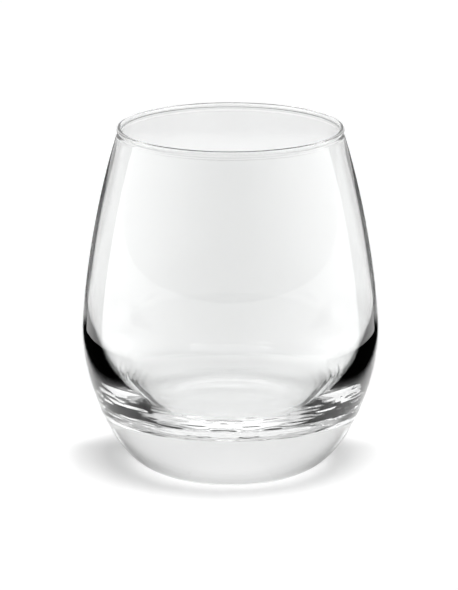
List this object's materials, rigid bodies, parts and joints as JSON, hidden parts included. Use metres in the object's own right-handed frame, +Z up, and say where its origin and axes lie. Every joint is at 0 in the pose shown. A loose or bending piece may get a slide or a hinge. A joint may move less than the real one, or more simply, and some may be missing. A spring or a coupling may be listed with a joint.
{
  "type": "tumbler",
  "caption": "Clear glass stemless drinking tumbler with a thick rounded base, a full belly and a thin wall that leans in to a rounded rim.",
  "frame": {"origin": "centre of the flat foot ring, on the plane that the tumbler stands on", "axes": "+Z up along the axis of the glass, from the foot to the open rim; X and Y level, all directions alike because the glass is round"},
  "size_m": [0.0856, 0.0856, 0.1],
  "materials": {
    "clear_glass": "polished, clear and colourless"
  },
  "bodies": {
    "root": {"glass_body": "clear_glass"}
  },
  "joints": []
}
